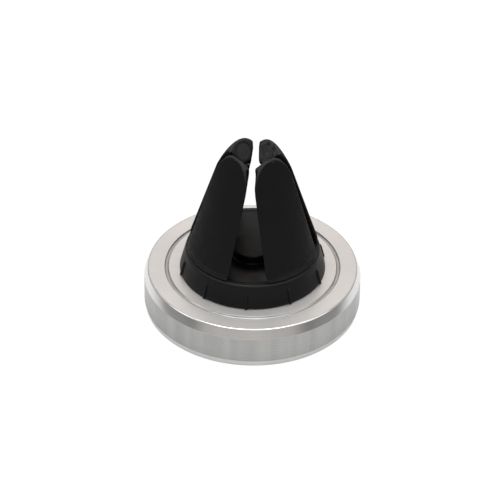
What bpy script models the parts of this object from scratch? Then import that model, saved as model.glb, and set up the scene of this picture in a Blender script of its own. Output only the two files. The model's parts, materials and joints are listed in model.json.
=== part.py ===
"""Magnetic car-vent phone mount, built as a bench assembly of separate pieces.

A turned aluminium disc holds the magnets behind a soft face pad, and stands on that pad.
A moulded vent clip turns on a shoulder screw in the middle of the disc's back: a base, a
ribbed collar around it and four prongs that grip a louver blade in a cross of two slots.
The origin is the middle of the magnet face, +Z runs up the clip and the wide slot runs
along Y.
"""

import math

import bmesh
import bpy
from mathutils import Vector

MM = 0.001
GAP = 0.2 * MM  # static clearance between stacked or nested pieces
RUN_GAP = 0.3 * MM  # clearance where the clip turns or a prong bends

# Disc: overall sizes, from the magnet face at z = 0
DISC_RADIUS = 20.0 * MM
DISC_HEIGHT = 8.0 * MM
TOP_BEVEL = (0.7 * MM, 1.8 * MM)  # inward, down
FOOT_BEVEL = (0.25 * MM, 1.2 * MM)  # inward, up
FOOT_LIFT = 0.05 * MM  # the metal stops just above the pad's face
EDGE_ROUND = 0.15 * MM
GROOVE_RADIUS = 15.85 * MM
GROOVE_HALF_WIDTH = 0.35 * MM
GROOVE_DEPTH = 0.3 * MM
SHELL_WALL = 1.7 * MM
SHELL_ROOF = 1.8 * MM

# Stack inside the disc
PAD_THICKNESS = 1.0 * MM
ADHESIVE_THICKNESS = 0.3 * MM
CARRIER_THICKNESS = 2.9 * MM
YOKE_THICKNESS = 0.9 * MM
MAGNET_RADIUS = 4.0 * MM
MAGNET_COUNT = 6
MAGNET_PITCH_RADIUS = 11.4 * MM
CORE_HOLE_RADIUS = 3.7 * MM

# Pivot
SHANK_RADIUS = 1.5 * MM
SCREW_HEAD_RADIUS = 2.6 * MM
SCREW_HEAD_HEIGHT = 1.2 * MM
SCREW_SOCKET = (1.0 * MM, 0.7 * MM)  # hexagon corner radius, depth
HEXAGON = 6
NUT_CORNER_RADIUS = 3.1 * MM
NUT_HEIGHT = 2.3 * MM
BUSH_RADIUS = 2.3 * MM
PIVOT_BORE = 2.5 * MM
WASHER_THICKNESS = 0.4 * MM

# Clip: heights are above the disc's back, where its own z starts
FACE = DISC_HEIGHT
BASE_RADIUS = 10.9 * MM
BASE_UNDERSIDE = 0.8 * MM
DISH_FLOOR = 3.0 * MM  # the floor is a dish: lowest at the boss, level with the collar at its edge
BOSS_RADIUS = 3.8 * MM
BOSS_WALL = 0.65 * MM
BOSS_TOP = 4.7 * MM
BOSS_WEB = 1.6 * MM
CAP_THICKNESS = 0.4 * MM
COLLAR_FOOT_RADIUS = 13.45 * MM
COLLAR_RIM_RADIUS = 12.3 * MM
COLLAR_BORE = 11.1 * MM
COLLAR_TOP = 4.45 * MM
RIB_COUNT = 10
RIB_WIDTH = 0.4 * MM
RIB_HEIGHT = 0.25 * MM
RIB_TOP = 3.0 * MM

# Prongs
CONE_RADIUS_AT_FACE = 13.76 * MM
CONE_SLOPE = 0.311
SPINE_FOOT = (12.1 * MM, 5.3 * MM)  # outward distance on the diagonal, height
SPINE_TIP = (4.4 * MM, 25.9 * MM)
FINGERTIP = (5.1 * MM, 7.5 * MM)  # half-width and height of the prong's oval end
TIP_THICKNESS = 0.35 * MM
WALL = 2.6 * MM
LEAD_IN_SLOPE = 0.577
JAW_HEIGHT = 22.2 * MM
NECK_HEIGHT = 18.5 * MM
WIDE_SLOT = (3.45 * MM, 0.85 * MM, 0.45 * MM)  # half-widths at the heights below
NARROW_SLOT = (1.8 * MM, 0.6 * MM, 0.4 * MM)
SLOT_HEIGHTS = (5.3 * MM, 20.5 * MM, 24.0 * MM)
SKIN = 0.8 * MM
SLEEVE_FOOT = 5.5 * MM
CORE_TOP = 23.3 * MM
HEM_INSET = 0.2 * MM
HINGE_OUT = 10.2 * MM
HINGE_HEIGHT = 4.5 * MM

PRONG_STATIONS = (8.0 * MM, 12.0 * MM, 16.0 * MM)
SHOULDER_HEIGHT = 20.0 * MM
FINGERTIP_ANGLES = (13, 25, 36, 48, 60, 72, 83)  # degrees up the oval end
BOW_OUTSIDE = 0.02  # a flat outer face still bows by this share of its distance to the cone
BOW_INSIDE = 1.001  # and a flat inner face by this factor

DISC_SEGMENTS = 64
SMALL_SEGMENTS = 36
MAGNET_SEGMENTS = 24
GROOVE_STEPS = 4
PLAIN_STEPS = 4  # steps of plain collar from one rib to the next
ARC_POINTS = 7
SIDE_POINTS = 2
MERGE_DISTANCE = 1e-7
SMOOTH_ANGLE = math.radians(30)

QUADRANTS = {
    "front_left": (-1, -1),
    "front_right": (1, -1),
    "rear_left": (-1, 1),
    "rear_right": (1, 1),
}


def clear_scene():
    """Empty the scene so that the part starts from nothing."""
    for obj in list(bpy.data.objects):
        bpy.data.objects.remove(obj, do_unlink=True)


def make_material(name, colour, roughness, metallic=0.0):
    """One Principled material for one piece."""
    mat = bpy.data.materials.new(name)
    mat.use_nodes = True
    shader = mat.node_tree.nodes["Principled BSDF"]
    shader.inputs["Base Color"].default_value = (*colour, 1.0)
    shader.inputs["Roughness"].default_value = roughness
    shader.inputs["Metallic"].default_value = metallic
    return mat


def finish_object(name, bm, mat, parent=None):
    """Turn a bmesh into a named object with closed, outward faces."""
    bmesh.ops.remove_doubles(bm, verts=bm.verts, dist=MERGE_DISTANCE)
    bmesh.ops.dissolve_degenerate(bm, edges=bm.edges, dist=MERGE_DISTANCE)
    bmesh.ops.recalc_face_normals(bm, faces=bm.faces)
    mesh = bpy.data.meshes.new(name)
    bm.to_mesh(mesh)
    bm.free()
    mesh.shade_smooth()
    mesh.set_sharp_from_angle(angle=SMOOTH_ANGLE)
    mesh.materials.append(mat)
    obj = bpy.data.objects.new(name, mesh)
    bpy.context.collection.objects.link(obj)
    if parent is not None:
        obj.parent = parent
    return obj


def make_empty(name, location, parent=None):
    """An axis marker that moving pieces hang from."""
    marker = bpy.data.objects.new(name, None)
    marker.empty_display_size = 2 * MM
    bpy.context.collection.objects.link(marker)
    marker.parent = parent
    marker.location = location
    return marker


def spin_profile(profile, segments=DISC_SEGMENTS):
    """Turn a closed outline of (radius, z) points about the Z axis."""
    bm = bmesh.new()
    verts = [bm.verts.new((r, 0.0, z)) for r, z in profile]
    edges = [bm.edges.new((verts[i - 1], verts[i])) for i in range(len(verts))]
    bmesh.ops.spin(
        bm, geom=verts + edges, cent=(0, 0, 0), axis=(0, 0, 1),
        angle=math.tau, steps=segments, use_merge=True,
    )
    return bm


def ring_profile(inner, outer, low, high):
    """Outline of a plain ring, or of a plain disc if inner is 0."""
    return [(inner, low), (outer, low), (outer, high), (inner, high)]


def loft(loops, close_ring=False):
    """Bridge equal loops of points; close the ends, or join the last loop to the first."""
    bm = bmesh.new()
    rows = [[bm.verts.new(point) for point in loop] for loop in loops]
    pairs = list(zip(rows, rows[1:]))
    if close_ring:
        pairs.append((rows[-1], rows[0]))
    count = len(rows[0])
    for low, high in pairs:
        for i in range(count):
            j = (i + 1) % count
            bm.faces.new((low[i], low[j], high[j], high[i]))
    if not close_ring:
        bm.faces.new(rows[0])
        bm.faces.new(rows[-1])
    return bm


def cut_with(target, cutter):
    """Subtract a hidden cutter from a piece."""
    cutter.hide_render = True
    cutter.display_type = "WIRE"
    cut = target.modifiers.new("cut_" + cutter.name, "BOOLEAN")
    cut.operation = "DIFFERENCE"
    cut.solver = "EXACT"
    cut.object = cutter


# ---------------------------------------------------------------- magnet disc


def build_housing():
    """Turned aluminium cup with a bevel at both rims and a ring groove on its back."""
    inset, drop = TOP_BEVEL
    foot_inset, foot_rise = FOOT_BEVEL
    cavity_radius = DISC_RADIUS - SHELL_WALL
    ceiling = DISC_HEIGHT - SHELL_ROOF
    outer = [
        (cavity_radius, FOOT_LIFT),
        (DISC_RADIUS - foot_inset, FOOT_LIFT),
        (DISC_RADIUS, foot_rise + FOOT_LIFT),
        (DISC_RADIUS, DISC_HEIGHT - drop),
        (DISC_RADIUS - inset, DISC_HEIGHT - EDGE_ROUND),
        (DISC_RADIUS - inset - EDGE_ROUND, DISC_HEIGHT),
    ]
    groove = []
    for step in range(GROOVE_STEPS + 1):
        angle = math.pi * step / GROOVE_STEPS
        radius = GROOVE_RADIUS + GROOVE_HALF_WIDTH * math.cos(angle)
        groove.append((radius, DISC_HEIGHT - GROOVE_DEPTH * math.sin(angle)))
    inside = [
        (PIVOT_BORE, DISC_HEIGHT),
        (PIVOT_BORE, ceiling),
        (cavity_radius, ceiling),
    ]
    bm = spin_profile(outer + groove + inside)
    return finish_object("disc_housing", bm, make_material("aluminium", (0.78, 0.76, 0.74), 0.3, 1.0))


def build_disc_stack():
    """Face pad, adhesive, magnets in their carrier, and the steel yoke behind them."""
    radius = DISC_RADIUS - SHELL_WALL - GAP
    pad = spin_profile(ring_profile(0.0, radius, 0.0, PAD_THICKNESS))
    finish_object("face_pad", pad, make_material("silicone", (0.02, 0.02, 0.022), 0.75))

    glue_low = PAD_THICKNESS + GAP
    glue = spin_profile(ring_profile(0.0, radius - GAP, glue_low, glue_low + ADHESIVE_THICKNESS))
    finish_object("pad_adhesive", glue, make_material("adhesive", (0.8, 0.8, 0.78), 0.6))

    low = glue_low + ADHESIVE_THICKNESS + GAP
    high = low + CARRIER_THICKNESS
    carrier_bm = spin_profile(ring_profile(CORE_HOLE_RADIUS, radius, low, high))
    carrier = finish_object("magnet_carrier", carrier_bm, make_material("carrier", (0.05, 0.05, 0.05), 0.5))
    build_magnets(carrier, low, high)

    yoke_low = high + GAP
    yoke = spin_profile(ring_profile(CORE_HOLE_RADIUS, radius, yoke_low, yoke_low + YOKE_THICKNESS))
    finish_object("yoke_plate", yoke, make_material("yoke_steel", (0.55, 0.55, 0.56), 0.35, 1.0))


def build_magnets(carrier, low, high):
    """A ring of disc magnets, each in its own pocket of the carrier."""
    nickel = make_material("nickel", (0.7, 0.69, 0.66), 0.2, 1.0)
    pockets = bmesh.new()
    overshoot = 1.0 * MM
    for index in range(MAGNET_COUNT):
        angle = math.tau * (index + 0.5) / MAGNET_COUNT
        centre = (MAGNET_PITCH_RADIUS * math.cos(angle), MAGNET_PITCH_RADIUS * math.sin(angle))
        magnet = bmesh.new()
        add_cylinder(magnet, centre, MAGNET_RADIUS, low, high)
        finish_object(f"magnet_{index + 1}", magnet, nickel)
        add_cylinder(pockets, centre, MAGNET_RADIUS + GAP, low - overshoot, high + overshoot)
    cutter = finish_object("pocket_cutter", pockets, nickel)
    cut_with(carrier, cutter)


def add_cylinder(bm, centre, radius, low, high, segments=MAGNET_SEGMENTS):
    """Add an upright cylinder to a bmesh by extruding a filled circle."""
    circle = bmesh.ops.create_circle(bm, cap_ends=True, radius=radius, segments=segments)
    verts = circle["verts"]
    bmesh.ops.translate(bm, verts=verts, vec=(centre[0], centre[1], low))
    face = next(iter(verts[0].link_faces))
    top = bmesh.ops.extrude_face_region(bm, geom=[face], use_keep_orig=True)
    raised = [item for item in top["geom"] if isinstance(item, bmesh.types.BMVert)]
    bmesh.ops.translate(bm, verts=raised, vec=(0.0, 0.0, high - low))


# ---------------------------------------------------------------- pivot


def build_pivot():
    """Shoulder screw, nut, bush and the two washers that the clip turns on."""
    steel = make_material("screw_steel", (0.5, 0.5, 0.52), 0.3, 1.0)
    ceiling = DISC_HEIGHT - SHELL_ROOF
    nut_high = ceiling - GAP
    nut_low = nut_high - NUT_HEIGHT
    head_low = FACE + BOSS_WEB + GAP + WASHER_THICKNESS + GAP
    head_high = head_low + SCREW_HEAD_HEIGHT
    head_edge = SCREW_HEAD_RADIUS - EDGE_ROUND
    socket_radius, socket_depth = SCREW_SOCKET
    screw = spin_profile(
        [
            (0.0, nut_low - GAP),
            (SHANK_RADIUS, nut_low - GAP),
            (SHANK_RADIUS, head_low),
            (SCREW_HEAD_RADIUS, head_low),
            (SCREW_HEAD_RADIUS, head_high - EDGE_ROUND),
            (head_edge, head_high),
            (0.0, head_high),
        ],
        SMALL_SEGMENTS,
    )
    screw_obj = finish_object("pivot_screw", screw, steel)
    socket = bmesh.new()
    socket_low = head_high - socket_depth
    add_cylinder(socket, (0.0, 0.0), socket_radius, socket_low, head_high + socket_depth, HEXAGON)
    cut_with(screw_obj, finish_object("socket_cutter", socket, steel))

    bore = SHANK_RADIUS + GAP
    nut = loft(nut_loops(bore, nut_low, nut_high), close_ring=True)
    finish_object("pivot_nut", nut, make_material("nut_steel", (0.6, 0.6, 0.58), 0.35, 1.0))

    bush = spin_profile(ring_profile(bore, BUSH_RADIUS, ceiling + GAP, FACE + BOSS_WEB), SMALL_SEGMENTS)
    finish_object("swivel_bush", bush, make_material("brass", (0.72, 0.56, 0.3), 0.3, 1.0))

    low = FACE + GAP
    thrust = spin_profile(
        ring_profile(PIVOT_BORE + GAP, BASE_RADIUS / 2, low, low + WASHER_THICKNESS), SMALL_SEGMENTS
    )
    finish_object("thrust_washer", thrust, make_material("nylon", (0.85, 0.84, 0.8), 0.5))

    spring_low = FACE + BOSS_WEB + GAP
    spring = spin_profile(
        ring_profile(bore, SCREW_HEAD_RADIUS, spring_low, spring_low + WASHER_THICKNESS), SMALL_SEGMENTS
    )
    finish_object("wave_washer", spring, make_material("spring_steel", (0.45, 0.45, 0.47), 0.3, 1.0))


def nut_loops(bore, low, high):
    """The four loops of a hexagon nut: outside low and high, then the bore high and low."""
    sides = 4 * HEXAGON
    outside = []
    inside = []
    for index in range(sides):
        angle = math.tau * index / sides
        within = (angle % (math.tau / HEXAGON)) - math.pi / HEXAGON
        radius = NUT_CORNER_RADIUS * math.cos(math.pi / HEXAGON) / math.cos(within)
        outside.append((radius * math.cos(angle), radius * math.sin(angle)))
        inside.append((bore * math.cos(angle), bore * math.sin(angle)))
    plan = ((outside, low), (outside, high), (inside, high), (inside, low))
    return [[(x, y, z) for x, y in loop] for loop, z in plan]


# ---------------------------------------------------------------- vent clip


def dish_height(radius):
    """Height of the base's dished floor at a radius."""
    share = (radius - BOSS_RADIUS) / (COLLAR_BORE - BOSS_RADIUS)
    return mix(DISH_FLOOR, COLLAR_TOP, share)


def build_clip_base(swivel):
    """Round dished base with a hollow boss that hides the screw's head, and its snap-in cap."""
    black = make_material("black_plastic", (0.022, 0.021, 0.021), 0.5)
    boss_bore = BOSS_RADIUS - BOSS_WALL
    bore = BUSH_RADIUS + RUN_GAP
    lid_low = FACE + BOSS_TOP - CAP_THICKNESS
    base = spin_profile(
        [
            (bore, FACE + BASE_UNDERSIDE),
            (BASE_RADIUS, FACE + BASE_UNDERSIDE),
            (BASE_RADIUS, FACE + dish_height(BASE_RADIUS)),
            (BOSS_RADIUS, FACE + DISH_FLOOR),
            (BOSS_RADIUS, lid_low - GAP),
            (boss_bore, lid_low - GAP),
            (boss_bore, FACE + BOSS_WEB),
            (bore, FACE + BOSS_WEB),
        ],
        DISC_SEGMENTS,
    )
    shift_down(base, swivel)
    finish_object("clip_base", base, black, swivel)

    plug_low = FACE + BOSS_WEB + 2 * WASHER_THICKNESS + SCREW_HEAD_HEIGHT + GAP
    cap = spin_profile(
        [
            (0.0, plug_low),
            (boss_bore - GAP, plug_low),
            (boss_bore - GAP, lid_low),
            (BOSS_RADIUS, lid_low),
            (BOSS_RADIUS, FACE + BOSS_TOP - EDGE_ROUND),
            (BOSS_RADIUS - EDGE_ROUND, FACE + BOSS_TOP),
            (0.0, FACE + BOSS_TOP),
        ],
        SMALL_SEGMENTS,
    )
    shift_down(cap, swivel)
    finish_object("pivot_cap", cap, black, swivel)


def shift_down(bm, marker):
    """Move a mesh into its parent marker's own frame."""
    bmesh.ops.translate(bm, verts=bm.verts, vec=-marker.matrix_world.translation)


def collar_radius(height):
    """Outer radius of the collar at a height above the disc."""
    return COLLAR_FOOT_RADIUS + (COLLAR_RIM_RADIUS - COLLAR_FOOT_RADIUS) * height / COLLAR_TOP


def build_collar(swivel):
    """Tapered collar that wraps the base, with thin upright ribs on its lower part."""
    heights = [RUN_GAP, RIB_TOP - 2 * RIB_HEIGHT, RIB_TOP, COLLAR_TOP - 2 * EDGE_ROUND]
    raised = [True, True, False, False]
    half_angle = RIB_WIDTH / 2 / COLLAR_FOOT_RADIUS
    stations = []
    for index in range(RIB_COUNT):
        middle = math.tau * index / RIB_COUNT - math.pi / 2
        stations += [
            (middle - 2 * half_angle, False),
            (middle - half_angle, True),
            (middle + half_angle, True),
            (middle + 2 * half_angle, False),
        ]
        plain = (math.tau / RIB_COUNT - 4 * half_angle) / PLAIN_STEPS
        for step in range(1, PLAIN_STEPS):
            stations.append((middle + 2 * half_angle + plain * step, False))

    columns = []
    for angle, on_rib in stations:
        points = [
            (collar_radius(h) + (RIB_HEIGHT if on_rib and up else 0.0), h)
            for h, up in zip(heights, raised)
        ]
        points += [
            (COLLAR_RIM_RADIUS - 2 * EDGE_ROUND, COLLAR_TOP),
            (COLLAR_BORE, COLLAR_TOP),
            (COLLAR_BORE, RUN_GAP),
        ]
        columns.append([(r * math.cos(angle), r * math.sin(angle), h + FACE) for r, h in points])
    collar = loft(columns, close_ring=True)
    shift_down(collar, swivel)
    finish_object("collar_ring", collar, make_material("collar_plastic", (0.03, 0.03, 0.031), 0.45), swivel)


def mix(start, end, share):
    """Straight-line value between two others."""
    return start + (end - start) * share


def slot_half_width(height, widths):
    """Half the gap between two prongs; it narrows from the foot to the jaws."""
    foot, neck, jaw = SLOT_HEIGHTS
    if height < neck:
        return mix(widths[0], widths[1], max((height - foot) / (neck - foot), 0.0))
    return mix(widths[1], widths[2], min((height - neck) / (jaw - neck), 1.0))


def spine_distance(height):
    """Outward distance of the prong's middle line on its diagonal."""
    share = (height - SPINE_FOOT[1]) / (SPINE_TIP[1] - SPINE_FOOT[1])
    return mix(SPINE_FOOT[0], SPINE_TIP[0], share)


def inner_distance(height):
    """Distance of the prong's inner face on its diagonal: wall, neck, jaw and lead-in ramp."""
    jaw = spine_distance(SPINE_TIP[1]) - TIP_THICKNESS - (SPINE_TIP[1] - JAW_HEIGHT) * LEAD_IN_SLOPE
    neck = spine_distance(NECK_HEIGHT) - WALL
    if height >= JAW_HEIGHT:
        return jaw + (height - JAW_HEIGHT) * LEAD_IN_SLOPE
    if height >= NECK_HEIGHT:
        share = (height - NECK_HEIGHT) / (JAW_HEIGHT - NECK_HEIGHT)
        return mix(neck, jaw, 0.5 - 0.5 * math.cos(math.pi * share))
    return spine_distance(height) - WALL


def arc_through(first, middle, last, count):
    """Points on the circle through three points, from the first to the last."""
    ax, ay = first
    bx, by = middle
    cx, cy = last
    twice = 2 * (ax * (by - cy) + bx * (cy - ay) + cx * (ay - by))
    a2, b2, c2 = ax * ax + ay * ay, bx * bx + by * by, cx * cx + cy * cy
    ux = (a2 * (by - cy) + b2 * (cy - ay) + c2 * (ay - by)) / twice
    uy = (a2 * (cx - bx) + b2 * (ax - cx) + c2 * (bx - ax)) / twice
    radius = math.hypot(ax - ux, ay - uy)
    start = math.atan2(ay - uy, ax - ux)
    sweep = (math.atan2(cy - uy, cx - ux) - start + math.pi) % math.tau - math.pi
    angles = [start + sweep * i / (count - 1) for i in range(count)]
    return [(ux + radius * math.cos(a), uy + radius * math.sin(a)) for a in angles]


def on_diagonal(distance):
    """Point at a distance from the axis on the 45 degree line."""
    return (distance / math.sqrt(2), distance / math.sqrt(2))


def on_slot_plane(radius, offset, swap):
    """Point at a radius on the plane that bounds a slot."""
    along = math.sqrt(radius * radius - offset * offset)
    return (along, offset) if swap else (offset, along)


def prong_outline(height, inset, outer_limit=None):
    """Horizontal section of the +X +Y prong as a closed list of (x, y) points.

    inset shrinks the section on every side, and outer_limit caps its outward radius.
    """
    wide = slot_half_width(height, WIDE_SLOT) + inset
    narrow = slot_half_width(height, NARROW_SLOT) + inset
    cone = CONE_RADIUS_AT_FACE - CONE_SLOPE * height - inset
    spine = spine_distance(height) - inset
    inner = inner_distance(height) + inset
    if outer_limit is not None:
        cone = min(cone, outer_limit)
        spine = min(spine, outer_limit)
    flatness = min(max((height - NECK_HEIGHT) / (JAW_HEIGHT - NECK_HEIGHT), 0.0), 1.0)
    inner_wide = mix(inner, math.hypot(wide, math.sqrt(2) * inner - wide), flatness)
    inner_narrow = mix(inner, math.hypot(narrow, math.sqrt(2) * inner - narrow), flatness)
    outer_arc = arc_through(
        on_slot_plane(cone, wide, False), on_diagonal(mix(spine, cone, BOW_OUTSIDE)),
        on_slot_plane(cone, narrow, True), ARC_POINTS,
    )
    inner_arc = arc_through(
        on_slot_plane(inner_narrow, narrow, True), on_diagonal(inner * BOW_INSIDE),
        on_slot_plane(inner_wide, wide, False), ARC_POINTS,
    )
    outer_arc = narrowed(outer_arc, height, inset)
    inner_arc = narrowed(inner_arc, height, inset)
    outline = outer_arc + side_points(outer_arc[-1], inner_arc[0])
    return outline + inner_arc + side_points(inner_arc[-1], outer_arc[0])


def side_points(start, end):
    """Even points strictly between two corners."""
    shares = [(i + 1) / (SIDE_POINTS + 1) for i in range(SIDE_POINTS)]
    return [(mix(start[0], end[0], s), mix(start[1], end[1], s)) for s in shares]


def narrowed(arc, height, inset):
    """Narrow one face of a section about the diagonal where the prong's end is round."""
    half_width, rise = FINGERTIP
    centre = SPINE_TIP[1] - rise
    if height <= centre:
        return arc
    share = min((height - centre) / (rise - inset), 1.0)
    reach = (half_width - inset) * math.sqrt(1.0 - share * share)
    half = math.sqrt(2)
    widest = max(abs(x - y) / half for x, y in arc)
    scale = min(1.0, reach / widest)
    rounded = []
    for x, y in arc:
        outward = (x + y) / half
        across = scale * (x - y) / half
        rounded.append(((outward + across) / half, (outward - across) / half))
    return rounded


def place_loop(outline, height, signs, marker):
    """Mirror a section into its quadrant and give it its height, in the marker's frame."""
    offset = marker.matrix_world.translation
    return [
        Vector((x * signs[0], y * signs[1], height + FACE)) - offset
        for x, y in outline
    ]


def build_prong(place, signs, swivel):
    """One prong: a stiff core with a visible hem at its foot, in a soft grip sleeve."""
    out_x, out_y = on_diagonal(HINGE_OUT)
    location = Vector((out_x * signs[0], out_y * signs[1], HINGE_HEIGHT))
    marker = make_empty("hinge_" + place, location, swivel)
    bpy.context.view_layer.update()

    tip = SPINE_TIP[1]
    crown = tip - FINGERTIP[1]
    outer_heights = [SLEEVE_FOOT, *PRONG_STATIONS, crown]
    for degrees in FINGERTIP_ANGLES:
        outer_heights.append(crown + FINGERTIP[1] * math.sin(math.radians(degrees)))
    middle = PRONG_STATIONS[1]
    cavity_heights = [CORE_TOP + GAP, JAW_HEIGHT, SHOULDER_HEIGHT, NECK_HEIGHT, middle, SLEEVE_FOOT]
    sleeve_loops = [place_loop(prong_outline(h, 0.0), h, signs, marker) for h in outer_heights]
    cavity_loops = [place_loop(prong_outline(h, SKIN), h, signs, marker) for h in cavity_heights]
    finish_object("grip_sleeve_" + place, sleeve_mesh(sleeve_loops, cavity_loops), RUBBER, marker)

    hem_low = COLLAR_TOP + RUN_GAP
    hem_high = SLEEVE_FOOT - GAP
    stages = [(hem_low, HEM_INSET), (hem_high, HEM_INSET)]
    for height in (hem_high, middle, NECK_HEIGHT, SHOULDER_HEIGHT, JAW_HEIGHT, CORE_TOP):
        stages.append((height, SKIN + GAP))
    core_loops = [place_loop(prong_outline(h, inset), h, signs, marker) for h, inset in stages]
    core_loops.insert(0, foot_loop(hem_low, signs, marker))
    finish_object("prong_core_" + place, loft(core_loops), CORE, marker)


def foot_loop(height, signs, marker):
    """The underside of a core: it stops inside the collar and follows the dish below it."""
    outline = prong_outline(height, HEM_INSET, BASE_RADIUS)
    points = place_loop(outline, height, signs, marker)
    for point, (x, y) in zip(points, outline):
        point.z += dish_height(math.hypot(x, y)) + RUN_GAP - height
    return points


def sleeve_mesh(outer, cavity):
    """A sock: its outside, its closed tip, and the pocket that the core fills."""
    bm = bmesh.new()
    outer_rows = [[bm.verts.new(p) for p in loop] for loop in outer]
    inner_rows = [[bm.verts.new(p) for p in loop] for loop in cavity]
    count = len(outer_rows[0])
    bands = list(zip(outer_rows, outer_rows[1:])) + list(zip(inner_rows, inner_rows[1:]))
    bands.append((inner_rows[-1], outer_rows[0]))
    for low, high in bands:
        for i in range(count):
            j = (i + 1) % count
            bm.faces.new((low[i], low[j], high[j], high[i]))
    bm.faces.new(outer_rows[-1])
    bm.faces.new(inner_rows[0])
    return bm


clear_scene()
RUBBER = make_material("soft_rubber", (0.018, 0.017, 0.018), 0.62)
CORE = make_material("prong_plastic", (0.03, 0.029, 0.029), 0.45)
build_housing()
build_disc_stack()
build_pivot()
clip_marker = make_empty("swivel_axis", (0.0, 0.0, FACE))
bpy.context.view_layer.update()
build_clip_base(clip_marker)
build_collar(clip_marker)
for quadrant, quadrant_signs in QUADRANTS.items():
    build_prong(quadrant, quadrant_signs, clip_marker)
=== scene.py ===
"""The finished look of a magnetic phone mount for a car's air vent.

A turned aluminium disc stands on its soft magnet face. A black clip turns on its back: a
round base with a hollow boss, a ribbed collar, and four rubber-sleeved prongs that leave a
cross of two slots between them. Each sub-assembly is a class that builds its own pieces.
"""

import json
import logging
import math
from dataclasses import dataclass, field
from enum import Enum
from typing import Callable, Iterable, Sequence

import bmesh
import bpy
import numpy as np
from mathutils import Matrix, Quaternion, Vector

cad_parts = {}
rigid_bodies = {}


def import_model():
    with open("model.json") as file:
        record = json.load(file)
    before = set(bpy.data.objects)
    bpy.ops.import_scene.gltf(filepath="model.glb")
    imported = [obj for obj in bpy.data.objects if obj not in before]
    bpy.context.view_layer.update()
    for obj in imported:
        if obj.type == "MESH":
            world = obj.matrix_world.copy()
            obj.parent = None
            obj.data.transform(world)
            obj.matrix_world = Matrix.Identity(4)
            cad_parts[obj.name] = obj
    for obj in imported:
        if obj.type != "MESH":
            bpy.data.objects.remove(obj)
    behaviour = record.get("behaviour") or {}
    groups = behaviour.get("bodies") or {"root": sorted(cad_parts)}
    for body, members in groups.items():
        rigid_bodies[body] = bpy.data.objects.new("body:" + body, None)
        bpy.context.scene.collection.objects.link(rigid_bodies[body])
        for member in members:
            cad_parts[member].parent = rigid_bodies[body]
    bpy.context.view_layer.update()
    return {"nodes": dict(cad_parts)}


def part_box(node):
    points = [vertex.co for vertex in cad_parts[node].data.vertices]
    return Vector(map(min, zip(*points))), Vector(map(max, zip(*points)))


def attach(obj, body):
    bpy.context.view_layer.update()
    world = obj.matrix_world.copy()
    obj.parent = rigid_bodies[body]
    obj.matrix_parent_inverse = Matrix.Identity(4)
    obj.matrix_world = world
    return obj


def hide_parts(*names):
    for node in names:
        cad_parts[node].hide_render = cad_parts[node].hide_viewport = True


for _left_over in list(bpy.data.objects):
    bpy.data.objects.remove(_left_over, do_unlink=True)
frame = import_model()
DISC_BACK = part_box("disc_housing")[1].z

MM = 0.001
MERGE_DISTANCE = 1e-8
EDGE_HOLD = 0.03 * MM  # the extra ring beside each rounded edge that keeps the flats flat
SHARP_ANGLE = math.radians(38)
DIAGONAL = math.sqrt(2)
LINE_TONE = 0.4  # how far the tool marks themselves shift the metal's colour
GRAIN_TINT = 0.03  # the most that mottling pales a moulded colour
WEAR_POLISH = 0.12  # how much smoother a worn edge is
MARK_SHADE = 0.62  # how worn the rubber looks inside a pin mark
MARK_RING = 4.0  # a pin mark's rim against the grain's own relief

log = logging.getLogger("phone_mount")

Point2 = tuple[float, float]
Triple = tuple[float, float, float]
Colour = Triple
Socket = bpy.types.NodeSocket


class Quadrant(Enum):
    """The four prongs, with the signs that mirror the +X +Y one into place."""

    FRONT_LEFT = (-1, -1)
    FRONT_RIGHT = (1, -1)
    REAR_LEFT = (-1, 1)
    REAR_RIGHT = (1, 1)

    @property
    def label(self) -> str:
        """The quadrant's name as it is used in node names."""
        return self.name.lower()


class LineRun(Enum):
    """Which way a turning tool moved: across a flat face, or along a wall."""

    FACE = "Face Height"
    WALL = "Wall Height"


# ---------------------------------------------------------------- shader groups


class Graph:
    """Adds and joins shader nodes in one node tree."""

    def __init__(self, tree: bpy.types.NodeTree) -> None:
        """Work on this tree."""
        self.tree = tree

    def add(self, kind: str, inputs: dict | None = None, **settings: object) -> bpy.types.Node:
        """Add a node.

        Args:
            kind: the node's type name.
            inputs: socket names or indices, each with a value or a socket to link from.
            **settings: properties of the node itself.

        Returns:
            The new node.
        """
        node = self.tree.nodes.new(kind)
        for key, value in settings.items():
            setattr(node, key, value)
        for key, value in (inputs or {}).items():
            self.feed(node.inputs[key], value)
        return node

    def feed(self, socket: Socket, value: object) -> None:
        """Link a socket from another one, or set its value."""
        if isinstance(value, bpy.types.NodeSocket):
            self.tree.links.new(value, socket)
        else:
            socket.default_value = value

    def math(self, operation: str, first: object, second: object = 0.0) -> Socket:
        """The result of a maths node."""
        return self.add("ShaderNodeMath", {0: first, 1: second}, operation=operation).outputs[0]

    def ramp(self, value: Socket, low: object, high: object, out: Point2 = (0.0, 1.0)) -> Socket:
        """Map low..high smoothly onto a range, held at both ends."""
        inputs = {"Value": value, "From Min": low, "From Max": high, "To Min": out[0], "To Max": out[1]}
        return self.add("ShaderNodeMapRange", inputs, interpolation_type="SMOOTHSTEP").outputs["Result"]

    def noise(self, vector: Socket, scale: object, detail: float = 3.0) -> Socket:
        """A solid noise value from 0 to 1."""
        inputs = {"Vector": vector, "Scale": scale, "Detail": detail}
        return self.add("ShaderNodeTexNoise", inputs).outputs[0]

    def line_noise(self, along: Socket, scale: object, detail: float = 4.0) -> Socket:
        """A noise value that changes along one direction only."""
        inputs = {"W": along, "Scale": scale, "Detail": detail, "Roughness": 0.65}
        return self.add("ShaderNodeTexNoise", inputs, noise_dimensions="1D").outputs[0]

    def blend(self, share: Socket, first: Colour, second: Colour) -> Socket:
        """Two colours mixed by a mask."""
        node = self.add("ShaderNodeMix", data_type="RGBA")
        self.feed(node.inputs["Factor"], share)
        self.feed(node.inputs[6], (*first, 1.0))
        self.feed(node.inputs[7], (*second, 1.0))
        return node.outputs[2]


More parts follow.
